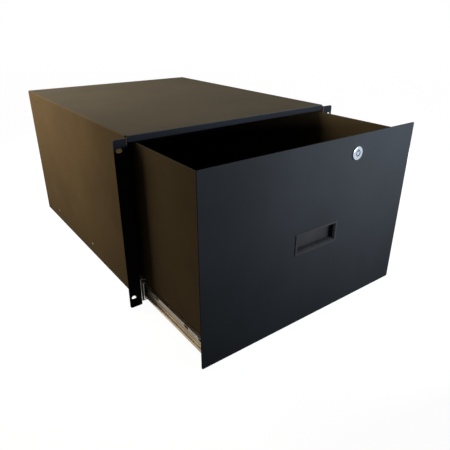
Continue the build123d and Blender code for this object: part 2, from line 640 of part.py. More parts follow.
# Front panel: a flat plate, wider than the case, that covers the opening when shut.
panel_outline = RectangleRounded(PANEL_WIDTH, PANEL_HEIGHT, PANEL_CORNER_RADIUS)
front_panel = along_y(panel_outline, 0, 0, PANEL_FRONT, PANEL_BACK)
for cutout in front_cutouts(PANEL_FRONT - CUT_PAST, PANEL_BACK + CUT_PAST):
    front_panel -= cutout
for x, z in stud_places():
    front_panel += rod_y(x, z, STUD_BASE_DIAMETER / 2, PANEL_BACK - JOIN_DEPTH, PANEL_BACK + STUD_BASE)
    front_panel += rod_y(x, z, STUD_DIAMETER / 2, PANEL_BACK, PANEL_BACK + STUD_LENGTH)
nodes["front_panel"] = front_panel

# Tray: bottom and side walls, a channel open at the top. The end walls below close it.
tray_side = TRAY_HALF_WIDTH - TRAY_SHEET / 2
tray_low = TRAY_BOTTOM + TRAY_SHEET / 2
tray_section = [(-tray_side, TRAY_TOP), (-tray_side, tray_low), (tray_side, tray_low), (tray_side, TRAY_TOP)]
tray_plane = Plane(origin=(0, TRAY_FRONT_INSIDE, 0), x_dir=(1, 0, 0), z_dir=(0, -1, 0))
drawer_tray = folded_strip(tray_section, TRAY_BEND_RADIUS - TRAY_SHEET / 2, TRAY_SHEET, tray_plane,
                           TRAY_FRONT_INSIDE + TRAY_SHEET - TRAY_BACK)
for y in drawer_screw_places():
    drawer_tray -= rod_x(y, SLIDE_Z, SLIDE_SCREW_DIAMETER / 2 + SCREW_CLEARANCE, -CASE_WIDTH, CASE_WIDTH)
nodes["drawer_tray"] = drawer_tray


# End walls: flat sheets on the ends of the channel, with its rounded lower corners.
def tray_end(y0, y1):
    wall = box(-TRAY_HALF_WIDTH, TRAY_HALF_WIDTH, y0, y1, TRAY_BOTTOM, TRAY_TOP)
    return fillet(wall.edges().filter_by(Axis.Y).group_by(Axis.Z)[0], TRAY_BEND_RADIUS)


nodes["tray_back"] = tray_end(TRAY_BACK - TRAY_SHEET, TRAY_BACK)
tray_front = tray_end(PANEL_BACK, TRAY_FRONT_INSIDE)
for cutout in front_cutouts(PANEL_BACK - CUT_PAST, TRAY_FRONT_INSIDE + CUT_PAST):
    tray_front -= cutout
for x, z in stud_places():
    tray_front -= rod_y(x, z, STUD_BASE_DIAMETER / 2 + STUD_FIT, PANEL_BACK - CUT_PAST,
                        TRAY_FRONT_INSIDE + CUT_PAST)
nodes["tray_front"] = tray_front

# Flanged nuts that hold the tray to the panel's studs.
panel_nuts = []
for x, z in stud_places():
    nut = rod_y(x, z, NUT_FLANGE_DIAMETER / 2, TRAY_FRONT_INSIDE, TRAY_FRONT_INSIDE + NUT_FLANGE)
    nut += along_y(RegularPolygon(NUT_FLATS / 2, 6, major_radius=False), x, z, TRAY_FRONT_INSIDE,
                   TRAY_FRONT_INSIDE + NUT_HEIGHT)
    nut -= rod_y(x, z, STUD_DIAMETER / 2 + SCREW_CLEARANCE, TRAY_FRONT_INSIDE - CUT_PAST,
                 TRAY_FRONT_INSIDE + NUT_HEIGHT + CUT_PAST)
    panel_nuts.append(nut)
nodes["panel_nuts"] = group(panel_nuts)

# Rubber buffers on the back of the panel, which meet the case's lip.
buffer_x = TRAY_HALF_WIDTH - BUFFER_FROM_TRAY_SIDE
buffer_z = (LIP_BOTTOM + CASE_TOP) / 2
nodes["front_buffers"] = group(
    rod_y(side * buffer_x, buffer_z, BUFFER_DIAMETER / 2, PANEL_BACK, PANEL_BACK + BUFFER_LENGTH)
    for side in (-1, 1))


# Flush pull: a moulded frame round a finger pocket, pushed through the panel and the tray.
def flush_pull():
    face = PANEL_FRONT - PULL_PROUD
    throat = PANEL_FRONT + PULL_SLOPE
    rim = RectangleRounded(PULL_WIDTH, PULL_HEIGHT, PULL_CORNER_RADIUS)
    frame = along_y(rim, 0, PULL_Z, face, PANEL_FRONT)
    frame = chamfer(frame.edges().group_by(Axis.Y)[0], PULL_EDGE)
    back = face + PULL_DEPTH + PULL_WALL
    pull = frame + along_y(pull_pocket_outline(0), 0, PULL_Z, PANEL_FRONT, back)
    mouth_width, mouth_height = pull_mouth_width(), pull_mouth_height()
    wide = Rectangle(mouth_width + 2 * PULL_SLOPE, mouth_height + 2 * PULL_SLOPE)
    narrow = Rectangle(mouth_width, mouth_height)
    front_plane = Plane(origin=(0, face, PULL_Z), x_dir=(1, 0, 0), z_dir=(0, -1, 0))
    throat_plane = Plane(origin=(0, throat, PULL_Z), x_dir=(1, 0, 0), z_dir=(0, -1, 0))
    pull -= loft([front_plane * wide, throat_plane * narrow])
    pocket = box(-mouth_width / 2, mouth_width / 2, face, face + PULL_DEPTH,
                 PULL_Z - mouth_height / 2, PULL_Z + mouth_height / 2)
    scoop = box(-mouth_width / 2, mouth_width / 2, throat + PULL_WALL, face + PULL_DEPTH,
                PULL_Z, PULL_Z + mouth_height / 2 + PULL_UNDERCUT)
    scoop = fillet(scoop.edges().filter_by(Axis.X).group_by(Axis.Z)[-1], PULL_UNDERCUT)
    pull = pull - pocket - scoop
    pocket_half = mouth_width / 2 + PULL_WALL
    barb_front = TRAY_FRONT_INSIDE + RETAINER_SHEET + PULL_BARB_GAP
    for side in (-1, 1):
        for row in (-1, 1):
            z = PULL_Z + PULL_UNDERCUT / 2 + row * mouth_height / 4
            pull += box(side * (pocket_half - JOIN_DEPTH), side * (pocket_half + PULL_BARB), barb_front,
                        barb_front + PULL_WALL, z - PULL_BARB_WIDTH / 2, z + PULL_BARB_WIDTH / 2)
    return pull


nodes["pull_handle"] = flush_pull()

# Spring-steel frame pushed over the pocket from inside, behind the barbs.
retainer_plate = pull_pocket_outline(RETAINER_BORDER) - pull_pocket_outline(RETAINER_FIT)
nodes["pull_retainer"] = along_y(retainer_plate, 0, PULL_Z, TRAY_FRONT_INSIDE,
                                 TRAY_FRONT_INSIDE + RETAINER_SHEET)


# Cam lock: plated body, turning plug with its key post, cranked cam and nuts.
def lock_y(depth):
    """Y of a depth measured back from the panel's front face."""
    return PANEL_FRONT + depth


def lock_rod(radius, y0, y1):
    return rod_y(LOCK_X, LOCK_Z, radius, lock_y(y0), lock_y(y1))


bore_end = LOCK_BARREL_LENGTH - LOCK_BACK_WALL
lock_body = lock_rod(LOCK_HEAD_DIAMETER / 2, -LOCK_HEAD, 0)
lock_body = fillet(lock_body.edges().filter_by(GeomType.CIRCLE).group_by(Axis.Y)[0], LOCK_HEAD_ROUND)
lock_body += along_y(double_d(0), LOCK_X, LOCK_Z, lock_y(0), lock_y(LOCK_BARREL_LENGTH))
lock_body -= lock_rod(LOCK_BORE_DIAMETER / 2, -LOCK_HEAD - CUT_PAST, bore_end)
lock_body -= lock_rod(LOCK_REAR_BORE_DIAMETER / 2, bore_end - CUT_PAST, LOCK_BARREL_LENGTH + CUT_PAST)
notch_top = LOCK_BORE_DIAMETER / 2 + KEY_NOTCH_DEPTH
lock_body -= box(LOCK_X - KEY_NOTCH_WIDTH / 2, LOCK_X + KEY_NOTCH_WIDTH / 2, lock_y(-LOCK_HEAD - CUT_PAST),
                 lock_y(KEY_NOTCH_DEPTH - LOCK_HEAD), LOCK_Z, LOCK_Z + notch_top)
nodes["lock_body"] = lock_body

keyway_end = KEYWAY_DEPTH - LOCK_HEAD
plug_end = LOCK_BARREL_LENGTH + CAM_HUB_GAP
cam_back = plug_end + CAM_SHEET
plug_radius = LOCK_BORE_DIAMETER / 2 - LOCK_RUNNING_CLEARANCE
tail_radius = LOCK_REAR_BORE_DIAMETER / 2 - LOCK_RUNNING_CLEARANCE
shoulder = bore_end - LOCK_RUNNING_CLEARANCE
lock_plug = lock_rod(plug_radius, keyway_end, shoulder)
lock_plug += lock_rod(KEY_POST_DIAMETER / 2, -LOCK_HEAD + KEY_POST_BELOW_FACE, keyway_end)
lock_plug += lock_rod(tail_radius, shoulder, plug_end)
tail = Circle(tail_radius) & Rectangle(CAM_SQUARE, CAM_SQUARE)
lock_plug += along_y(tail, LOCK_X, LOCK_Z, lock_y(plug_end), lock_y(cam_back))
lock_plug += lock_rod(CAM_STUD_DIAMETER / 2, cam_back, cam_back + CAM_NUT_HEIGHT + CAM_STUD_PROUD)
lock_plug -= box(LOCK_X - POST_GROOVE / 2, LOCK_X + POST_GROOVE / 2, lock_y(-LOCK_HEAD), lock_y(0),
                 LOCK_Z + (KEY_POST_DIAMETER - POST_GROOVE) / 2, LOCK_Z + KEY_POST_DIAMETER)
nodes["lock_plug"] = lock_plug


# The cam lies to the left when unlocked, and its tip is cranked forward to lie close behind the lip.
def lock_cam():
    hub_y = lock_y(plug_end + CAM_SHEET / 2)
    lip_depth = LIP_FRONT + CASE_SHEET - PANEL_FRONT_CLOSED
    tip_y = lock_y(lip_depth + CAM_LIP_GAP + CAM_SHEET / 2)
    crank = LOCK_BARREL_DIAMETER / 2 + CAM_SHEET
    plane = Plane(origin=(LOCK_X, 0, LOCK_Z - CAM_HUB_DIAMETER / 2), x_dir=(1, 0, 0), z_dir=(0, 0, 1))
    path = [(CAM_HUB_DIAMETER / 2, hub_y), (-crank, hub_y), (-crank - CAM_CRANK, tip_y), (-CAM_REACH, tip_y)]
    cam = folded_strip(path, CAM_SHEET, CAM_SHEET, plane, CAM_HUB_DIAMETER)
    arm = Pos(-CAM_REACH / 2, 0) * RectangleRounded(CAM_REACH, CAM_WIDTH, CAM_CORNER_RADIUS)
    square = CAM_SQUARE + 2 * LOCK_RUNNING_CLEARANCE
    outline = Circle(CAM_HUB_DIAMETER / 2) + arm - Rectangle(square, square)
    return cam & along_y(outline, LOCK_X, LOCK_Z, lock_y(0), lock_y(2 * LOCK_BARREL_LENGTH))


nodes["lock_cam"] = lock_cam()

hexagon = RegularPolygon(CAM_NUT_FLATS / 2, 6, major_radius=False)
cam_nut = along_y(hexagon, LOCK_X, LOCK_Z, lock_y(cam_back), lock_y(cam_back + CAM_NUT_HEIGHT))
cam_nut -= lock_rod(CAM_STUD_DIAMETER / 2 + SCREW_CLEARANCE, cam_back - CUT_PAST,
                    cam_back + CAM_NUT_HEIGHT + CUT_PAST)
nodes["cam_nut"] = cam_nut

hexagon = RegularPolygon(LOCK_NUT_FLATS / 2, 6, major_radius=False)
lock_nut_back = TRAY_FRONT_INSIDE + LOCK_NUT_HEIGHT
lock_nut = along_y(hexagon, LOCK_X, LOCK_Z, TRAY_FRONT_INSIDE, lock_nut_back)
lock_nut -= rod_y(LOCK_X, LOCK_Z, LOCK_BARREL_DIAMETER / 2 + SCREW_CLEARANCE, TRAY_FRONT_INSIDE - CUT_PAST,
                  lock_nut_back + CUT_PAST)
nodes["lock_nut"] = lock_nut

os.makedirs("parts", exist_ok=True)
for name, shape in nodes.items():
    export_step(shape, "parts/" + name + ".step")
print(len(nodes), "nodes")
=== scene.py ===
import math

import bmesh
import bpy
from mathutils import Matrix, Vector


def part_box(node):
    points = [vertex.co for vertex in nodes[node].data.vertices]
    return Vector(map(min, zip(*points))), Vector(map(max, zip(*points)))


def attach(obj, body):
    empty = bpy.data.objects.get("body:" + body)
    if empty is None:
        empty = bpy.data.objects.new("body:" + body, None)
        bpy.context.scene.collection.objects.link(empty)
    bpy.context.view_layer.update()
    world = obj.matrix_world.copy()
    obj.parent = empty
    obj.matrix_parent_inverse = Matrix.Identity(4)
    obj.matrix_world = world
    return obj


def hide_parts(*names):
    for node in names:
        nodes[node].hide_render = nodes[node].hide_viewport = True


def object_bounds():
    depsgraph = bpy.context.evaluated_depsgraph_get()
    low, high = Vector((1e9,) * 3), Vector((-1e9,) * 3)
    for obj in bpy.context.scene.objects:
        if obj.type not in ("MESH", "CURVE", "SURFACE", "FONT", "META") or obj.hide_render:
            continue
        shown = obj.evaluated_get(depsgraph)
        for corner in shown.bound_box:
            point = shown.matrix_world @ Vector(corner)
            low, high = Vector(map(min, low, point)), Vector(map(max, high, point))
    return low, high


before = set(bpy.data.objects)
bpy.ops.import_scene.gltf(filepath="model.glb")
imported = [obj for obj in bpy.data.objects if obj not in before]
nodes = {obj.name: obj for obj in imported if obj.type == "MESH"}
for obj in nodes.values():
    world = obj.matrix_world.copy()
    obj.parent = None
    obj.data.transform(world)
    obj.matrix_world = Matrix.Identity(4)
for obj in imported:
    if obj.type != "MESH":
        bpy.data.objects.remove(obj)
cad_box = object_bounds()


# Case: two side walls with the rack ears, and the top and back between them, of bent mild-steel
# sheet, powder coated in satin black. Its colours hold painted light and shade: the walls are
# lighter and warm, the tops lighter, and the faces that look forward dark and cool. The coat has a
# fine orange peel, is paler on the ears' edges, partly worn thin and partly a painted highlight,
# and holds a little dust on top.
# Painted light and shade: the wall colour is lighter and warm, the top colour lighter, and the
# front colour dark and cool.
CASE_WALL_PAINTED_LIGHT = (0.107, 0.073, 0.036, 1.0)
CASE_TOP_PAINTED_LIGHT = (0.125, 0.108, 0.082, 1.0)
CASE_FRONT_PAINTED_SHADE = (0.016, 0.019, 0.026, 1.0)
CLOUD_BLACK = (0.01, 0.01, 0.01, 1.0)
# The pale colour of dust, scuffs and edges; on the edges it is partly a painted highlight.
DUST_WEAR_AND_HIGHLIGHT_GREY = (0.15, 0.14, 0.12, 1.0)
COAT_GLOSS = 0.001
CLOUD_SCALE = 8.0
CLOUD_SHARE = 0.3
PEEL_SCALE = 520.0
PEEL_STRENGTH = 0.12
PEEL_HEIGHT = 0.0002
SCUFF_STRETCH = (5.0, 70.0, 70.0)
SCUFF_TURN = (0.35, 0.2, 0.6)
SCUFF_PALENESS = 0.06
EDGE_REACH = 0.0009
EDGE_SAMPLES = 6
# The ears' outer edges are paler: partly coat worn thin, partly a painted highlight.
EAR_EDGES = ("X", 0.2209, 0.2216)


class Wire:
    """An output socket in a material, so that shader maths is written as sums."""

    def __init__(self, tree, socket=None):
        self.tree = tree
        self.socket = socket

    def node(self, kind, settings=None, sockets=None, out=0):
        """Adds a node: its settings go in first, then the values or wires of its sockets."""
        made = self.tree.nodes.new("ShaderNode" + kind)
        for name, value in (settings or {}).items():
            setattr(made, name, value)
        for name, value in (sockets or {}).items():
            if isinstance(value, Wire):
                self.tree.links.new(value.socket, made.inputs[name])
            else:
                made.inputs[name].default_value = value
        return Wire(self.tree, made.outputs[out]) if made.outputs else None

    def maths(self, operation, other=0.0):
        return self.node("Math", {"operation": operation}, {0: self, 1: other})

    def __add__(self, other):
        return self.maths("ADD", other)

    def __sub__(self, other):
        return self.maths("SUBTRACT", other)

    def __mul__(self, other):
        return self.maths("MULTIPLY", other)

    def __abs__(self):
        return self.maths("ABSOLUTE")

    def larger(self, other):
        return self.maths("MAXIMUM", other)

    def part(self, axis):
        """The X, Y or Z part of a place or a direction."""
        return self.node("SeparateXYZ", None, {0: self}, out=axis)

    def stretch(self, scale, turn=(0.0, 0.0, 0.0)):
        """A place that is scaled and turned, for a texture that runs one way."""
        return self.node("Mapping", None, {"Vector": self, "Rotation": turn, "Scale": scale})

    def noise(self, scale, detail, roughness=0.5):
        """Cloudy noise round 0.5 over a place."""
        return self.node("TexNoise", None, {"Vector": self, "Scale": scale, "Detail": detail,
                                            "Roughness": roughness})

    def band(self, low, high):
        """0 at low, 1 at high, even between them and level outside. Low may be the larger."""
        return self.node("MapRange", None, {0: self, 1: low, 2: high, 3: 0.0, 4: 1.0})

    def blend(self, first, second):
        """The first colour where this is 0, and the second where it is 1."""
        return self.node("Mix", {"data_type": "RGBA"}, {0: self, 6: first, 7: second}, out=2)

    def bump(self, strength, distance):
        return self.node("Bump", None, {"Strength": strength, "Distance": distance,
                                        "Height": self})


def start_material(name):
    """An empty material, and the wire that its nodes are added with."""
    material = bpy.data.materials.new(name)
    material.use_nodes = True
    material.node_tree.nodes.clear()
    return material, Wire(material.node_tree)


def sheet_edges(paint):
    """1 on the sharp edges of a sheet, where a coat lies thin and a highlight is painted, and 0 on
    its faces.
    """
    facing = paint.node("NewGeometry", out="Normal")
    eased = paint.node("Bevel", {"samples": EDGE_SAMPLES}, {"Radius": EDGE_REACH})
    turned = paint.node("VectorMath", {"operation": "DOT_PRODUCT"}, {0: facing, 1: eased},
                        out="Value")
    return turned.band(0.97, 0.72)


def powder_coat(name, wall, flat, front, roughness, dust_share, edge_share, edge_zone=None,
                dents=None):
    """Satin black powder coat. Walls, flats and fronts take their own colours, which hold painted
    light and shade.

    An edge zone is an axis, and how far from the middle its pale edges begin and are full; they are
    partly wear and partly painted highlight."""
    material, paint = start_material(name)
    place = paint.node("TexCoord", out="Object")
    cloud = place.noise(CLOUD_SCALE, 5.0, 0.6)
    peel = place.noise(PEEL_SCALE, 2.0)
    scuff = place.stretch(SCUFF_STRETCH, SCUFF_TURN).noise(3.0, 7.0, 0.7).band(0.66, 0.74)

    facing = paint.node("NewGeometry", out="Normal")
    forward = facing.part("Y") * -1.0
    # Painted light and shade: a face's colour follows which way it looks, sideways, up or forward.
    flat_or_front = forward.band(0.3, 0.95).blend(flat, front)
    colour = abs(facing.part("X")).band(0.2, 0.95).blend(flat_or_front, wall)
    shade = (cloud.band(0.25, 0.75) * CLOUD_SHARE).blend(colour, CLOUD_BLACK)

    dust = facing.part("Z").band(0.4, 1.0) * cloud.band(0.35, 0.7) * dust_share
    # Pale edges: partly coat worn thin, partly a painted highlight along the edge.
    worn_and_highlit_edges = sheet_edges(paint) * edge_share
    if edge_zone:
        axis, start, full = edge_zone
        worn_and_highlit_edges = worn_and_highlit_edges * abs(place.part(axis)).band(start, full)
    pale = (dust + scuff * SCUFF_PALENESS).larger(worn_and_highlit_edges)

    height = peel - dents(place) if dents else peel
    shader = paint.node("BsdfPrincipled", None, {
        "Base Color": pale.blend(shade, DUST_WEAR_AND_HIGHLIGHT_GREY),
        "Roughness": cloud * 0.12 + dust * 0.3 + scuff * 0.08 + (roughness - 0.06),
        "Specular IOR Level": COAT_GLOSS,
        "Normal": height.bump(PEEL_STRENGTH, PEEL_HEIGHT)})
    paint.node("OutputMaterial", None, {"Surface": shader})
    return material


def coat(material, *names):
    """Gives CAD nodes their material."""
    for name in names:
        nodes[name].data.materials.clear()
        nodes[name].data.materials.append(material)


case_coat = powder_coat("case_coat", CASE_WALL_PAINTED_LIGHT, CASE_TOP_PAINTED_LIGHT, CASE_FRONT_PAINTED_SHADE,
                        roughness=0.5, dust_share=0.25, edge_share=0.5, edge_zone=EAR_EDGES)
coat(case_coat, "case_side_left", "case_side_right", "rack_ear_left", "rack_ear_right",
     "case_top", "case_back")


# Case floor: a flat sheet in the same coat, laid on the bottom flanges of the side walls. It is
# held by two rows of spot welds, which leave shallow round dimples.
WELD_PITCH = 0.045
WELD_ROW_X = 0.203
WELD_RADIUS = 0.0028
WELD_BOTTOM_RADIUS = 0.00168
WELD_DEPTH = 2.5


def weld_dimples(place):
    """The depth of the dimples, as a multiple of the orange peel's height."""
    across = abs(place.part("X")) - WELD_ROW_X
    along = place.part("Y").maths("PINGPONG", WELD_PITCH / 2)
    distance = (across * across + along * along).maths("SQRT")
    return distance.band(WELD_RADIUS, WELD_BOTTOM_RADIUS) * WELD_DEPTH


# Painted light and shade as on the case: the lighter top colour on its faces, and the dark cool
# front colour on faces that look forward.
floor_coat = powder_coat("case_floor_coat", CASE_TOP_PAINTED_LIGHT, CASE_TOP_PAINTED_LIGHT, CASE_FRONT_PAINTED_SHADE,
                         roughness=0.5, dust_share=0.5, edge_share=0.4, dents=weld_dimples)
coat(floor_coat, "case_floor")


# Screws of the back: pan-head sheet screws with a cross recess, of blackened steel. They bite into
# the rear flanges of the side walls.
BLACKENED_DARK = (0.035, 0.033, 0.03, 1.0)
BLACKENED_LIGHT = (0.11, 0.105, 0.1, 1.0)
TURNED_ROUND = (900.0, 900.0, 60.0)
LINES_STRENGTH = 0.25
STAIN_SCALE = 55.0
STAIN_SHARE = 0.35


def bare_steel(name, dark, light, roughness, lines_scale, lines_depth):
    """Bare or plated steel, with the lines that rolling or turning leaves along it."""
    material, steel = start_material(name)
    place = steel.node("TexCoord", out="Object")
    lines = place.stretch(lines_scale).noise(1.0, 4.0, 0.6)
    stain = place.noise(STAIN_SCALE, 4.0, 0.6).band(0.4, 0.72)
    colour = lines.band(0.3, 0.7).blend(dark, light)
    shader = steel.node("BsdfPrincipled", None, {
        "Base Color": (stain * STAIN_SHARE).blend(colour, dark),
        "Metallic": 1.0,
        "Roughness": lines * 0.14 + stain * 0.12 + roughness,
        "Normal": lines.bump(LINES_STRENGTH, lines_depth)})
    steel.node("OutputMaterial", None, {"Surface": shader})
    return material


blackened_steel = bare_steel("blackened_screw_steel", BLACKENED_DARK, BLACKENED_LIGHT,
                             roughness=0.3, lines_scale=TURNED_ROUND, lines_depth=0.00002)
coat(blackened_steel, "back_screws")


# Slide members: three rolled channels a side, of cold-rolled strip with a zinc coat. The case and
# middle members are painted lighter, a painted light, and the drawer members, screwed to the tray,
# darker and warmer, a painted shade. The case members are screwed to the walls.
# Painted light: the case and middle members' zinc is lighter. Painted shade: the drawer members'
# zinc is darker and warm.
ZINC_DARK = (0.42, 0.42, 0.41, 1.0)
ZINC_LIGHT = (0.78, 0.78, 0.76, 1.0)
PAINTED_SHADE_ZINC_DARK = (0.17, 0.14, 0.1, 1.0)
PAINTED_SHADE_ZINC_LIGHT = (0.42, 0.37, 0.29, 1.0)
ROLLED_ALONG = (700.0, 2.5, 700.0)

painted_light_zinc = bare_steel("painted_light_zinc_steel", ZINC_DARK, ZINC_LIGHT,
                         roughness=0.24, lines_scale=ROLLED_ALONG, lines_depth=0.00004)
painted_shade_zinc = bare_steel("painted_shade_zinc_steel", PAINTED_SHADE_ZINC_DARK, PAINTED_SHADE_ZINC_LIGHT,
                       roughness=0.24, lines_scale=ROLLED_ALONG, lines_depth=0.00004)
for side in ("left", "right"):
    coat(painted_light_zinc, "case_member_" + side, "middle_member_" + side)
    coat(painted_shade_zinc, "drawer_member_" + side)


# Ball cages and balls: the cages are pressed from plain thin strip, the balls are hardened and
# polished. They lie in the raceways between the members, and run at half the members' speed.
STRIP_DARK = (0.2, 0.19, 0.18, 1.0)
STRIP_LIGHT = (0.42, 0.41, 0.39, 1.0)
BALL_DARK = (0.6, 0.6, 0.62, 1.0)
BALL_LIGHT = (0.72, 0.72, 0.74, 1.0)
BALL_LINES = (300.0, 300.0, 300.0)

cage_strip = bare_steel("cage_strip", STRIP_DARK, STRIP_LIGHT,
                        roughness=0.3, lines_scale=ROLLED_ALONG, lines_depth=0.00003)
ball_polish = bare_steel("polished_ball", BALL_DARK, BALL_LIGHT,
                         roughness=0.05, lines_scale=BALL_LINES, lines_depth=0.000004)
for side in ("left", "right"):
    coat(cage_strip, "outer_cage_" + side, "inner_cage_" + side)
    coat(ball_polish, "outer_balls_" + side, "inner_balls_" + side)


# Slide screws: low wafer heads with a cross recess, zinc plated. Three hold each case member to its
# wall and three each drawer member to the tray, and their tips end flush with the sheet behind.
PLATED_DARK = (0.25, 0.23, 0.2, 1.0)
PLATED_LIGHT = (0.5, 0.48, 0.44, 1.0)
PLATED_LINES = (500.0, 500.0, 500.0)
SCREW_SIDES = 32
SCREW_HEAD_RADIUS = 0.004
SCREW_HEAD_HEIGHT = 0.0011
SCREW_SHANK_RADIUS = 0.002
SCREW_RIM_BEVEL = 0.0005
SCREW_ROW_GAP = 0.02
RECESS_LENGTH = 0.0042
RECESS_WIDTH = 0.0009
RECESS_DEPTH = 0.0008
RECESS_TAPER = 0.6
SMOOTH_BELOW = math.radians(35)
SAME_PLACE = 1e-5
SAME_WAY = 0.99
X, Y, Z = range(3)
TURN_TO = {X: (0.0, math.pi / 2, 0.0), Y: (math.pi / 2, 0.0, 0.0), Z: (0.0, 0.0, 0.0)}


def pick(piece, kind, wanted):
    """In edit mode, selects only the wanted ones of its vertices, edges or faces."""
    bpy.ops.mesh.select_all(action="DESELECT")
    bpy.ops.mesh.select_mode(type=kind)
    mesh = bmesh.from_edit_mesh(piece.data)
    for element in {"VERT": mesh.verts, "EDGE": mesh.edges, "FACE": mesh.faces}[kind]:
        element.select_set(wanted(element))
    bmesh.update_edit_mesh(piece.data)


def pick_rim(piece, axis, level):
    """In edit mode, selects only the edges that lie at one level of an axis."""
    pick(piece, "EDGE", lambda edge: all(
        abs(end.co[axis] - level) < SAME_PLACE for end in edge.verts))


def pick_end(piece, axis, way):
    """In edit mode, selects only the faces that look up an axis, or down it if way is -1."""
    pick(piece, "FACE", lambda face: face.normal[axis] * way > SAME_WAY)


def start_cylinder(sides, radius, length, axis, centre):
    """A plain cylinder along an axis, in edit mode."""
    bpy.ops.object.select_all(action="DESELECT")
    bpy.ops.mesh.primitive_cylinder_add(vertices=sides, radius=radius, depth=length,
                                        location=centre, rotation=TURN_TO[axis])
    bpy.ops.object.transform_apply(location=True, rotation=True, scale=True)
    bpy.ops.object.mode_set(mode="EDIT")
    return bpy.context.object


def select_only(piece):
    """In object mode, selects one piece and makes it active."""
    bpy.ops.object.select_all(action="DESELECT")
    piece.select_set(True)
    bpy.context.view_layer.objects.active = piece


def settle(piece, name, material, body):
    """Names a finished piece, puts its place into its mesh and lets it ride on a body."""
    select_only(piece)
    bpy.ops.object.transform_apply(location=True, rotation=True, scale=True)
    bpy.ops.object.shade_smooth_by_angle(angle=SMOOTH_BELOW)
    piece.name = name
    piece.data.name = name
    piece.data.materials.clear()
    piece.data.materials.append(material)
    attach(piece, body)
    return piece


def copy_to(piece, name, shift, body):
    """A copy of a finished piece, with its own mesh, moved by a shift."""
    select_only(piece)
    bpy.ops.object.duplicate(linked=False)
    copy = bpy.context.object
    copy.parent = None
    bpy.ops.object.mode_set(mode="EDIT")
    bpy.ops.mesh.select_all(action="SELECT")
    bpy.ops.transform.translate(value=shift)
    bpy.ops.object.mode_set(mode="OBJECT")
    return settle(copy, name, piece.data.materials[0], body)


def recess_slot(screw, face, way, length, width):
    """Cuts one slot of a cross recess into a screw's face, narrower at its bottom."""
    bpy.ops.object.select_all(action="DESELECT")
    bpy.ops.mesh.primitive_cube_add(size=1.0, location=face)
    cutter = bpy.context.object
    cutter.scale = (RECESS_DEPTH * 2, length, width)
    bpy.ops.object.transform_apply(location=True, rotation=True, scale=True)
    bpy.ops.object.mode_set(mode="EDIT")
    pick_end(cutter, X, way)
    bpy.ops.transform.resize(value=(1.0, RECESS_TAPER, RECESS_TAPER), center_override=face)
    bpy.ops.object.mode_set(mode="OBJECT")
    bpy.context.view_layer.objects.active = screw
    recess = screw.modifiers.new("recess", "BOOLEAN")
    recess.operation = "DIFFERENCE"
    recess.solver = "EXACT"
    recess.object = cutter
    bpy.ops.object.modifier_apply(modifier="recess")
    bpy.data.objects.remove(cutter)


def wafer_screw(head_x, shank_end_x, y, z):
    """One slide screw along X: its head lies against the web at head_x."""
    way = math.copysign(1.0, shank_end_x - head_x)
    face_x = head_x - way * SCREW_HEAD_HEIGHT
    screw = start_cylinder(SCREW_SIDES, SCREW_HEAD_RADIUS, SCREW_HEAD_HEIGHT, X,
                           (head_x - way * SCREW_HEAD_HEIGHT / 2, y, z))
    pick_rim(screw, X, face_x)
    bpy.ops.mesh.bevel(offset=SCREW_RIM_BEVEL, segments=3)
    pick_end(screw, X, way)
    bpy.ops.mesh.inset(thickness=SCREW_HEAD_RADIUS - SCREW_SHANK_RADIUS)
    bpy.ops.mesh.extrude_region_move(
        TRANSFORM_OT_translate={"value": (shank_end_x - head_x, 0.0, 0.0)})
    bpy.ops.object.mode_set(mode="OBJECT")
    for length, width in ((RECESS_LENGTH, RECESS_WIDTH), (RECESS_WIDTH, RECESS_LENGTH)):
        recess_slot(screw, (face_x, y, z), way, length, width)
    return screw


def screw_places(node):
    """The Y of each screw in a CAD node, found by the gaps between them."""
    levels = sorted({round(vertex.co.y, 5) for vertex in nodes[node].data.vertices})
    screws = [[levels[0]]]
    for y in levels[1:]:
        if y - screws[-1][-1] > SCREW_ROW_GAP:
            screws.append([])
        screws[-1].append(y)
    return [(screw[0] + screw[-1]) / 2 for screw in screws]


plated_steel = bare_steel("plated_screw_steel", PLATED_DARK, PLATED_LIGHT,
                          roughness=0.22, lines_scale=PLATED_LINES, lines_depth=0.00002)
for side in ("left", "right"):
    for holder in ("case", "drawer"):
        node = holder + "_member_screws_" + side
        name = holder + "_slide_screw_" + side + "_"
        low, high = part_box(node)
        inner_x, outer_x = sorted((low.x, high.x), key=abs)
        face_x, tip_x = (inner_x, outer_x) if holder == "case" else (outer_x, inner_x)
        head_x = face_x + math.copysign(SCREW_HEAD_HEIGHT, tip_x - face_x)
        first_y, *other_ys = screw_places(node)
        first = settle(wafer_screw(head_x, tip_x, first_y, (low.z + high.z) / 2),
                       name + "1", plated_steel, holder)
        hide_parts(node)
        for count, y in enumerate(other_ys, start=2):
            other = copy_to(first, name + str(count), (0.0, y - first_y, 0.0), holder)
            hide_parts(node)


# Rear bumpers: moulded nylon blocks clipped into the back ends of the case members. They stop the
# middle members without a knock.
BUMPER_BLACK = (0.02, 0.02, 0.02, 1.0)
GRAIN_STRENGTH = 0.3
STREAK_SCALE = 35.0
STREAK_SHARE = 0.4


def moulded(name, colour, roughness, grain_scale, grain_depth, gloss):
    """Moulded plastic or rubber with the fine grain of its mould."""
    material, plastic = start_material(name)
    place = plastic.node("TexCoord", out="Object")
    grain = plastic.node("TexVoronoi", None, {"Vector": place, "Scale": grain_scale})
    streaks = place.noise(STREAK_SCALE, 4.0)
    paler = tuple(1.5 * part + 0.004 for part in colour[:3]) + (1.0,)
    shader = plastic.node("BsdfPrincipled", None, {
        "Base Color": (streaks.band(0.45, 0.8) * STREAK_SHARE).blend(colour, paler),
        "Roughness": streaks * 0.16 + (roughness - 0.08),
        "Specular IOR Level": gloss,
        "Normal": grain.bump(GRAIN_STRENGTH, grain_depth)})
    plastic.node("OutputMaterial", None, {"Surface": shader})
    return material


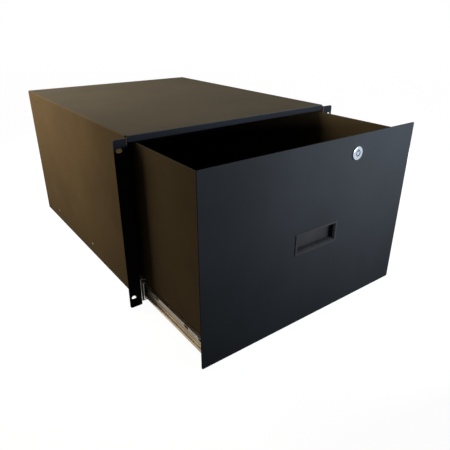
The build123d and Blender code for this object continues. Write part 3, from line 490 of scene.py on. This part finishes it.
bumper_nylon = moulded("bumper_nylon", BUMPER_BLACK, roughness=0.55, grain_scale=1500.0,
                       grain_depth=0.00003, gloss=0.4)
coat(bumper_nylon, "rear_bumper_left", "rear_bumper_right")


# Tray: a channel folded from one sheet and closed by two end walls, all in the same black coat. Its
# colours hold painted light and shade: the side walls are lighter and warm, the bottom and end
# walls dark. It is welded in the corners, and hangs between the slides.
# Painted light and shade: the wall colour is lighter and warm, the flat colour dark.
TRAY_WALL_PAINTED_LIGHT = (0.122, 0.088, 0.047, 1.0)
TRAY_FLAT_PAINTED_SHADE = (0.03, 0.026, 0.022, 1.0)
TRAY_SHEET = 0.0015
# The rim's top edges are paler: partly coat worn thin, partly a painted highlight.
TRAY_RIM = ("Z", 0.1392, 0.1404)
BEAD_SIDES = 10
BEAD_RADIUS = 0.0011
BEAD_WAIST = 0.8
BEAD_PITCH = 0.004
BEAD_SINK = 0.0003
BEAD_BELOW_RIM = 0.004
BEAD_ABOVE_BOTTOM = 0.006

tray_coat = powder_coat("tray_coat", TRAY_WALL_PAINTED_LIGHT, TRAY_FLAT_PAINTED_SHADE, TRAY_FLAT_PAINTED_SHADE,
                        roughness=0.45, dust_share=0.25, edge_share=0.7, edge_zone=TRAY_RIM)
coat(tray_coat, "drawer_tray", "tray_front", "tray_back")

tray_low, tray_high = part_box("drawer_tray")
bead_top = tray_high.z - BEAD_BELOW_RIM
bead_low = tray_low.z + BEAD_ABOVE_BOTTOM
bead_x = tray_high.x - TRAY_SHEET - BEAD_SINK
bead_y = tray_low.y + BEAD_SINK
bead = start_cylinder(BEAD_SIDES, BEAD_RADIUS, bead_top - bead_low, Z,
                      (bead_x, bead_y, (bead_top + bead_low) / 2))
pick(bead, "EDGE", lambda edge: abs(edge.verts[0].co.z - edge.verts[1].co.z) > BEAD_PITCH)
bpy.ops.mesh.subdivide(number_cuts=2 * int((bead_top - bead_low) / BEAD_PITCH) - 1)
levels = sorted({round(vertex.co.z, 6) for vertex in bmesh.from_edit_mesh(bead.data).verts})
waists = set(levels[1::2])
pick(bead, "VERT", lambda vertex: round(vertex.co.z, 6) in waists)
bpy.ops.transform.resize(value=(BEAD_WAIST, BEAD_WAIST, 1.0),
                         center_override=(bead_x, bead_y, 0.0))
bpy.ops.object.mode_set(mode="OBJECT")
bead = settle(bead, "tray_weld_front_right", tray_coat, "drawer")
to_left = -2 * bead_x
to_back = (tray_high.y - BEAD_SINK) - bead_y
for corner, shift in (("front_left", (to_left, 0.0, 0.0)),
                      ("back_right", (0.0, to_back, 0.0)),
                      ("back_left", (to_left, to_back, 0.0))):
    copy_to(bead, "tray_weld_" + corner, shift, "drawer")


# Front panel: a flat two-millimetre plate in the same coat, a little cooler and smoother than the
# folded sheet. It has four welded studs behind, and flanged nuts on them hold the tray.
PANEL_BLACK = (0.024, 0.0265, 0.031, 1.0)

panel_coat = powder_coat("panel_coat", PANEL_BLACK, PANEL_BLACK, PANEL_BLACK,
                         roughness=0.45, dust_share=0.1, edge_share=0.08)
coat(panel_coat, "front_panel")
coat(plated_steel, "panel_nuts")


# Buffers: two push-in rubber pads on the back of the panel, which meet the case's lip. Each has a
# rounded rim and a small hollow in its face.
RUBBER_BLACK = (0.012, 0.012, 0.012, 1.0)
BUFFER_SIDES = 32
BUFFER_ROUND = 0.0009
BUFFER_RIM = 0.0012
BUFFER_HOLLOW = 0.0006

rubber = moulded("buffer_rubber", RUBBER_BLACK, roughness=0.75, grain_scale=1800.0,
                 grain_depth=0.00002, gloss=0.3)
buffers_low, buffers_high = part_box("front_buffers")
buffer_radius = (buffers_high.z - buffers_low.z) / 2
buffer_x = buffers_high.x - buffer_radius
buffer_pad = start_cylinder(
    BUFFER_SIDES, buffer_radius, buffers_high.y - buffers_low.y, Y,
    (buffer_x, (buffers_low.y + buffers_high.y) / 2, (buffers_low.z + buffers_high.z) / 2))
pick_rim(buffer_pad, Y, buffers_high.y)
bpy.ops.mesh.bevel(offset=BUFFER_ROUND, segments=4)
pick_end(buffer_pad, Y, 1.0)
bpy.ops.mesh.inset(thickness=BUFFER_RIM)
bpy.ops.mesh.extrude_region_move(TRANSFORM_OT_translate={"value": (0.0, -BUFFER_HOLLOW, 0.0)})
bpy.ops.object.mode_set(mode="OBJECT")
settle(buffer_pad, "front_buffer_right", rubber, "drawer")
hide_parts("front_buffers")
other_pad = copy_to(buffer_pad, "front_buffer_left", (-2 * buffer_x, 0.0, 0.0), "drawer")
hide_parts("front_buffers")


# Flush pull: a moulded frame round a finger pocket, in satin black plastic. Four barbs and a
# spring-steel frame hold it from inside.
PULL_BLACK = (0.02, 0.0205, 0.023, 1.0)

pull_nylon = moulded("pull_nylon", PULL_BLACK, roughness=0.45, grain_scale=1300.0,
                     grain_depth=0.00004, gloss=0.06)
coat(pull_nylon, "pull_handle")
coat(cage_strip, "pull_retainer")


# Cam lock: a chromed zinc body and plug, with a round keyway. A ring of seven steel pins stands at
# its bottom, which the key presses in. The cam and the nuts behind are plated steel.
# The chrome colour is tinted blue, a painted reflection of cool light.
CHROME = (0.52, 0.6, 0.7, 1.0)
CHROME_ROUGHNESS = 0.16
CHROME_DULL_SHARE = 0.72
WIPE_STRETCH = (1200.0, 300.0, 90.0)
WIPE_TURN = (0.0, 0.5, 0.0)
HAZE_SCALE = 180.0
HAZE_SHARE = 0.5
KEYWAY_DEPTH = 0.006
PIN_COUNT = 7
PIN_SIDES = 16
PIN_RADIUS = 0.00055
PIN_ROUND = 0.0003
PIN_PROUD = 0.0004
PIN_SUNK = 0.0006
PIN_CIRCLE = 0.00415

lock_chrome, plate = start_material("lock_chrome")
plate_place = plate.node("TexCoord", out="Object")
wipes = plate_place.stretch(WIPE_STRETCH, WIPE_TURN).noise(1.0, 3.0)
haze = plate_place.noise(HAZE_SCALE, 3.0)
dull = tuple(CHROME_DULL_SHARE * part for part in CHROME[:3]) + (1.0,)
plate_shader = plate.node("BsdfPrincipled", None, {
    "Base Color": (haze.band(0.45, 0.75) * HAZE_SHARE).blend(CHROME, dull),
    "Metallic": 1.0,
    "Roughness": wipes.band(0.5, 0.75) * 0.08 + haze.band(0.5, 0.8) * 0.08 + CHROME_ROUGHNESS})
plate.node("OutputMaterial", None, {"Surface": plate_shader})
coat(lock_chrome, "lock_body", "lock_plug")
coat(plated_steel, "lock_nut", "lock_cam", "cam_nut")

lock_low, lock_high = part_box("lock_body")
lock_x = (lock_low.x + lock_high.x) / 2
lock_z = (lock_low.z + lock_high.z) / 2
keyway_floor_y = lock_low.y + KEYWAY_DEPTH
pin = start_cylinder(
    PIN_SIDES, PIN_RADIUS, PIN_PROUD + PIN_SUNK, Y,
    (lock_x, keyway_floor_y + (PIN_SUNK - PIN_PROUD) / 2, lock_z + PIN_CIRCLE))
pick_rim(pin, Y, keyway_floor_y - PIN_PROUD)
bpy.ops.mesh.bevel(offset=PIN_ROUND, segments=3)
bpy.ops.object.mode_set(mode="OBJECT")
pin = settle(pin, "lock_pin_1", plated_steel, "lock_cylinder")
for count in range(1, PIN_COUNT):
    angle = 2 * math.pi * count / PIN_COUNT
    shift = (PIN_CIRCLE * math.sin(angle), 0.0, PIN_CIRCLE * (math.cos(angle) - 1.0))
    copy_to(pin, "lock_pin_" + str(count + 1), shift, "lock_cylinder")


# Floor: a plain studio floor that the case stands on. To the camera and in reflections it is white
# but for the shadow. For all other light its shade is dark, so that it throws little light back up.
FLOOR_SIZE = 60.0
FLOOR_GAP = 0.0002
FLOOR_SHADE = (0.12, 0.12, 0.12, 1.0)
FLOOR_ROUGHNESS = 0.9
FLOOR_GLOSS = 0.1
FLOOR_LIFT = 0.96
WHITE = (1.0, 1.0, 1.0, 1.0)


def seen_directly(wire):
    """1 to the camera, in reflections and through glass, and 0 for all other light."""
    camera_ray = wire.node("LightPath", out="Is Camera Ray")
    glossy_ray = wire.node("LightPath", out="Is Glossy Ray")
    return camera_ray.larger(glossy_ray.larger(wire.node("LightPath", out="Is Transmission Ray")))


bpy.ops.object.select_all(action="DESELECT")
bpy.ops.mesh.primitive_plane_add(size=FLOOR_SIZE,
                                 location=(0.0, 0.0, cad_box[0][2] - FLOOR_GAP))
studio_floor = bpy.context.object
studio_floor.name = "studio_floor"
floor_material, ground = start_material("studio_floor")
matt = {"Base Color": FLOOR_SHADE, "Roughness": FLOOR_ROUGHNESS, "Specular IOR Level": FLOOR_GLOSS}
plain = ground.node("BsdfPrincipled", None, matt)
lifted = ground.node("BsdfPrincipled", None, {
    **matt, "Emission Color": WHITE, "Emission Strength": FLOOR_LIFT})
ground.node("OutputMaterial", None, {
    "Surface": ground.node("MixShader", None, {0: seen_directly(ground), 1: plain, 2: lifted})})
studio_floor.data.materials.append(floor_material)


# Light: a tall warm soft box that leans over the case from its left rear, a low cool strip in front
# at the right, and a weak one at the right side. The room is dim, but white where it is seen.
ROOM_LIGHT = 0.03

world = bpy.data.worlds.new("studio_room")
bpy.context.scene.world = world
world.use_nodes = True
world.node_tree.nodes.clear()
room = Wire(world.node_tree)
dim = room.node("Background", None, {"Color": WHITE, "Strength": ROOM_LIGHT})
bright = room.node("Background", None, {"Color": WHITE, "Strength": 1.0})
room.node("OutputWorld", None, {
    "Surface": room.node("MixShader", None, {0: seen_directly(room), 1: dim, 2: bright})})


def soft_lamp(name, place, target, width, height, power, colour):
    """A soft box that faces a point."""
    lamp = bpy.data.lights.new(name, "AREA")
    lamp.shape = "RECTANGLE"
    lamp.size = width
    lamp.size_y = height
    lamp.energy = power
    lamp.color = colour
    holder = bpy.data.objects.new(name, lamp)
    bpy.context.scene.collection.objects.link(holder)
    holder.location = place
    facing = Vector(target) - Vector(place)
    holder.rotation_euler = facing.to_track_quat("-Z", "Y").to_euler()
    holder.visible_camera = False


soft_lamp("key_lamp", place=(-0.25, 0.64, 0.59), target=(0.4, 0.4, 0.4),
          width=1.1, height=1.3, power=11.0, colour=(1.0, 0.9, 0.74))
soft_lamp("front_lamp", place=(0.26, -0.64, 0.2), target=(0.35, -0.25, 0.35),
          width=0.54, height=0.1, power=9.5, colour=(0.9, 0.96, 1.0))
soft_lamp("right_lamp", place=(1.0, 0.55, -0.01), target=(0.2, 0.2, 0.0),
          width=0.7, height=0.26, power=7.0, colour=(1.0, 0.97, 0.92))


# Camera: at the photograph's viewing angle, to the left of the front and above it. It stands where
# the open drawer fills the picture as it does there.
CAMERA_PLACE = (-0.4902, -0.6246, 0.3204)
CAMERA_DIP = 0.444
CAMERA_TURN = -0.633
CAMERA_LENS = 35.41
CAMERA_SENSOR = 36.0
CAMERA_CLIP_START = 0.01

camera_data = bpy.data.cameras.new("camera")
camera_data.sensor_width = CAMERA_SENSOR
camera_data.lens = CAMERA_LENS
camera_data.clip_start = CAMERA_CLIP_START
camera = bpy.data.objects.new("camera", camera_data)
bpy.context.scene.collection.objects.link(camera)
camera.location = CAMERA_PLACE
camera.rotation_euler = (math.pi / 2 - CAMERA_DIP, 0.0, CAMERA_TURN)
bpy.context.scene.camera = camera
bpy.context.scene.view_settings.view_transform = "Standard"
